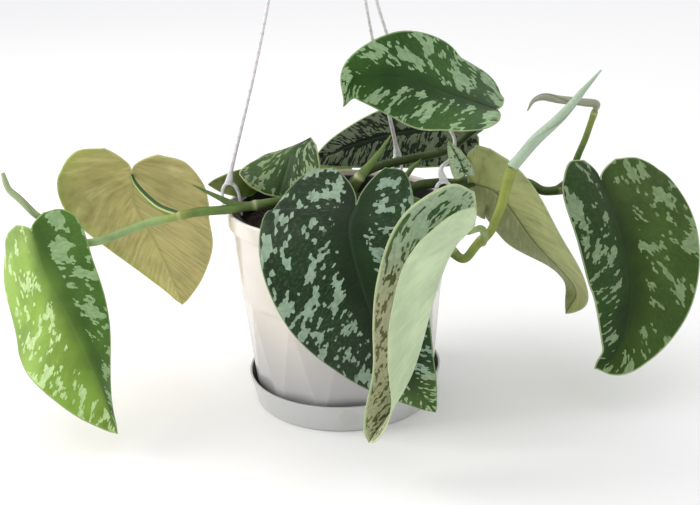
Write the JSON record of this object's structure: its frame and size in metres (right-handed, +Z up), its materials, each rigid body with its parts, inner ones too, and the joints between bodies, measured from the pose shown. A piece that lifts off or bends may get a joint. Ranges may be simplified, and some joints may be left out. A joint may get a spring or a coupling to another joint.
{
  "type": "potted satin pothos",
  "caption": "Trailing pothos with silver-blotched heart-shaped leaves in a white hanging pot with a saucer, an inner nursery pot and a strand hanger.",
  "frame": {"origin": "centre of the saucer's flat underside, on the surface that the pot stands on", "axes": "+Z up along the pot's axis, +Y away from the side with the front leaf, +X towards the far right leaf"},
  "size_m": [0.4719, 0.2664, 0.4538],
  "materials": {
    "white_plastic": "glossy moulded plastic",
    "black_plastic": "satin thin-walled plastic",
    "soil": "damp crumbly potting mix",
    "stem": "smooth living stem",
    "leaf": "satin leaf with silver blotches",
    "rolled_leaf": "pale rolled young leaf"
  },
  "bodies": {
    "root": {"saucer": "white_plastic", "pot": "white_plastic", "nursery_pot": "black_plastic", "soil": "soil", "hanger_strand_1": "white_plastic", "hanger_strand_2": "white_plastic", "hanger_strand_3": "white_plastic", "hanger_hook": "white_plastic", "vine_left": "stem", "vine_front": "stem", "vine_right": "stem", "vine_crown": "stem", "vine_back": "stem", "leaf_far_left": "leaf", "leaf_left_back": "leaf", "leaf_front": "leaf", "leaf_folded": "leaf", "leaf_top": "leaf", "leaf_shaded": "leaf", "leaf_back_left": "leaf", "leaf_low_left": "leaf", "leaf_right": "leaf", "leaf_far_right": "leaf", "leaf_behind": "leaf", "leaf_young": "leaf", "leaf_rolled_left": "rolled_leaf", "leaf_rolled_tall": "rolled_leaf", "leaf_rolled_right": "rolled_leaf"}
  },
  "joints": []
}
